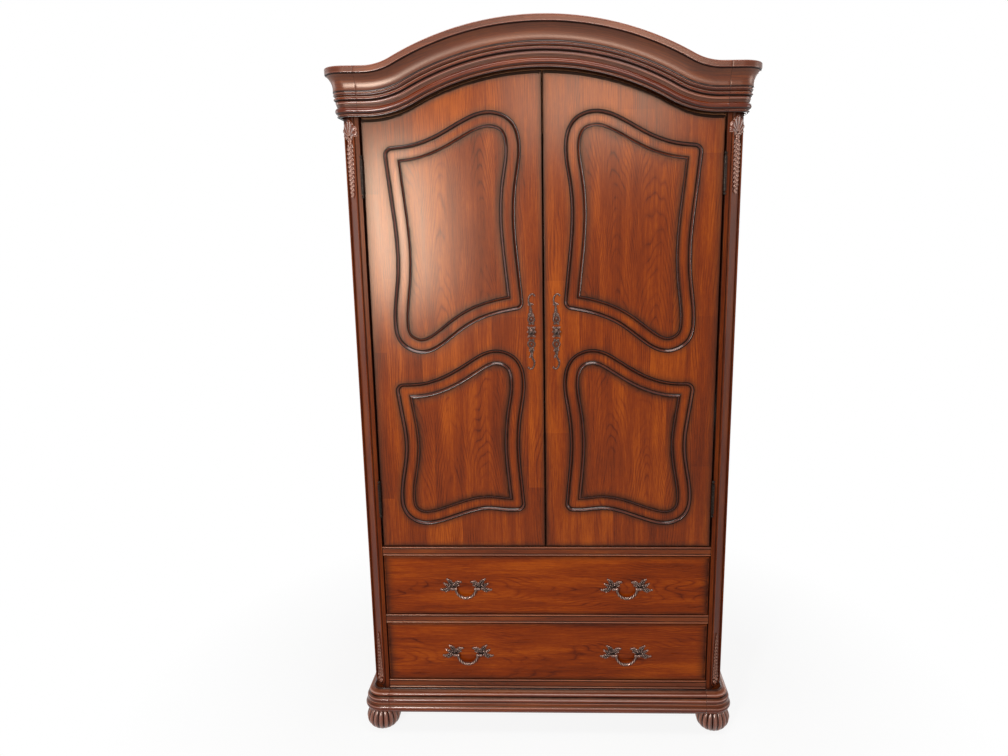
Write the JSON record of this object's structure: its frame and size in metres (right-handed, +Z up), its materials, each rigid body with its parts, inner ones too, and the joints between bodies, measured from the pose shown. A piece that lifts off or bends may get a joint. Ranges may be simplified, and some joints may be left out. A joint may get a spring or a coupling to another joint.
{
  "type": "television armoire",
  "caption": "Tall wooden armoire with an arched cornice, shaped raised panels on its doors, drawers with bail pulls below, canted corner posts and ribbed bun feet.",
  "frame": {"origin": "on the floor under the middle of the cabinet's overall box", "axes": "+Z up, the doors face -Y, +X to the right of someone facing the doors"},
  "size_m": [1.219, 0.6604, 2.187],
  "materials": {
    "case_wood": "satin cherry stain with dark glaze in the mouldings",
    "door_wood": "satin cherry veneer in upright staves",
    "panel_wood": "satin cherry veneer with cathedral grain",
    "drawer_wood": "satin cherry veneer with level grain",
    "carved_wood": "satin cherry stain with dark glaze in the carving",
    "inner_wood": "plain satin cherry stain",
    "runner_wood": "clear lacquer",
    "back_board": "matte stained board",
    "hardware": "dark antique casting",
    "steel": "plated",
    "catch_plastic": "matte"
  },
  "bodies": {
    "carcass": {"left_corner_post": "case_wood", "right_corner_post": "case_wood", "left_side_panel": "case_wood", "right_side_panel": "case_wood", "upper_left_drop": "carved_wood", "upper_right_drop": "carved_wood", "lower_left_drop": "carved_wood", "lower_right_drop": "carved_wood", "bottom_rail": "case_wood", "drawer_rail": "case_wood", "door_rail": "case_wood", "frieze_board": "case_wood", "header_rail": "inner_wood", "cornice_arch": "case_wood", "left_cornice_return": "case_wood", "right_cornice_return": "case_wood", "plinth_front": "case_wood", "left_plinth_return": "case_wood", "right_plinth_return": "case_wood", "front_feet": "carved_wood", "rear_feet": "carved_wood", "top_panel": "inner_wood", "bottom_panel": "inner_wood", "compartment_floor": "inner_wood", "dust_panel": "back_board", "tv_shelf": "inner_wood", "component_divider": "inner_wood", "adjustable_shelf": "inner_wood", "shelf_pins": "steel", "back_panel": "back_board", "drawer_runners": "runner_wood", "hinge_jamb_leaves": "hardware", "catch_magnets": "catch_plastic"},
    "left_door": {"left_door_frame": "door_wood", "left_upper_panel": "panel_wood", "left_lower_panel": "panel_wood", "left_door_hinges": "hardware", "left_door_pull": "hardware", "left_catch_plate": "steel"},
    "right_door": {"right_door_frame": "door_wood", "right_upper_panel": "panel_wood", "right_lower_panel": "panel_wood", "right_door_hinges": "hardware", "right_door_pull": "hardware", "right_catch_plate": "steel"},
    "upper_drawer": {"upper_drawer_front": "drawer_wood", "upper_drawer_sides": "runner_wood", "upper_drawer_back": "runner_wood", "upper_drawer_bottom": "back_board", "upper_pull_mounts": "hardware"},
    "upper_left_pull_bail": {"upper_left_bail": "hardware"},
    "upper_right_pull_bail": {"upper_right_bail": "hardware"},
    "lower_drawer": {"lower_drawer_front": "drawer_wood", "lower_drawer_sides": "runner_wood", "lower_drawer_back": "runner_wood", "lower_drawer_bottom": "back_board", "lower_pull_mounts": "hardware"},
    "lower_left_pull_bail": {"lower_left_bail": "hardware"},
    "lower_right_pull_bail": {"lower_right_bail": "hardware"}
  },
  "joints": [
    {"name": "left_door_swing", "type": "hinge", "parent": "carcass", "child": "left_door", "pos_m": [-0.51375, -0.29495, 1.2855], "axis": [0, 0, -1], "range_deg": [0, 170]},
    {"name": "right_door_swing", "type": "hinge", "parent": "carcass", "child": "right_door", "pos_m": [0.51375, -0.29495, 1.2855], "axis": [0, 0, 1], "range_deg": [0, 170]},
    {"name": "upper_drawer_slide", "type": "slide", "parent": "carcass", "child": "upper_drawer", "axis": [0, -1, 0], "range_m": [0, 0.4]},
    {"name": "lower_drawer_slide", "type": "slide", "parent": "carcass", "child": "lower_drawer", "axis": [0, -1, 0], "range_m": [0, 0.4]},
    {"name": "upper_left_bail_swing", "type": "hinge", "parent": "upper_drawer", "child": "upper_left_pull_bail", "pos_m": [-0.255, -0.29925, 0.50475], "axis": [-1, 0, 0], "range_deg": [0, 90]},
    {"name": "upper_right_bail_swing", "type": "hinge", "parent": "upper_drawer", "child": "upper_right_pull_bail", "pos_m": [0.255, -0.29925, 0.50475], "axis": [-1, 0, 0], "range_deg": [0, 90]},
    {"name": "lower_left_bail_swing", "type": "hinge", "parent": "lower_drawer", "child": "lower_left_pull_bail", "pos_m": [-0.255, -0.29925, 0.27325], "axis": [-1, 0, 0], "range_deg": [0, 90]},
    {"name": "lower_right_bail_swing", "type": "hinge", "parent": "lower_drawer", "child": "lower_right_pull_bail", "pos_m": [0.255, -0.29925, 0.27325], "axis": [-1, 0, 0], "range_deg": [0, 90]}
  ]
}
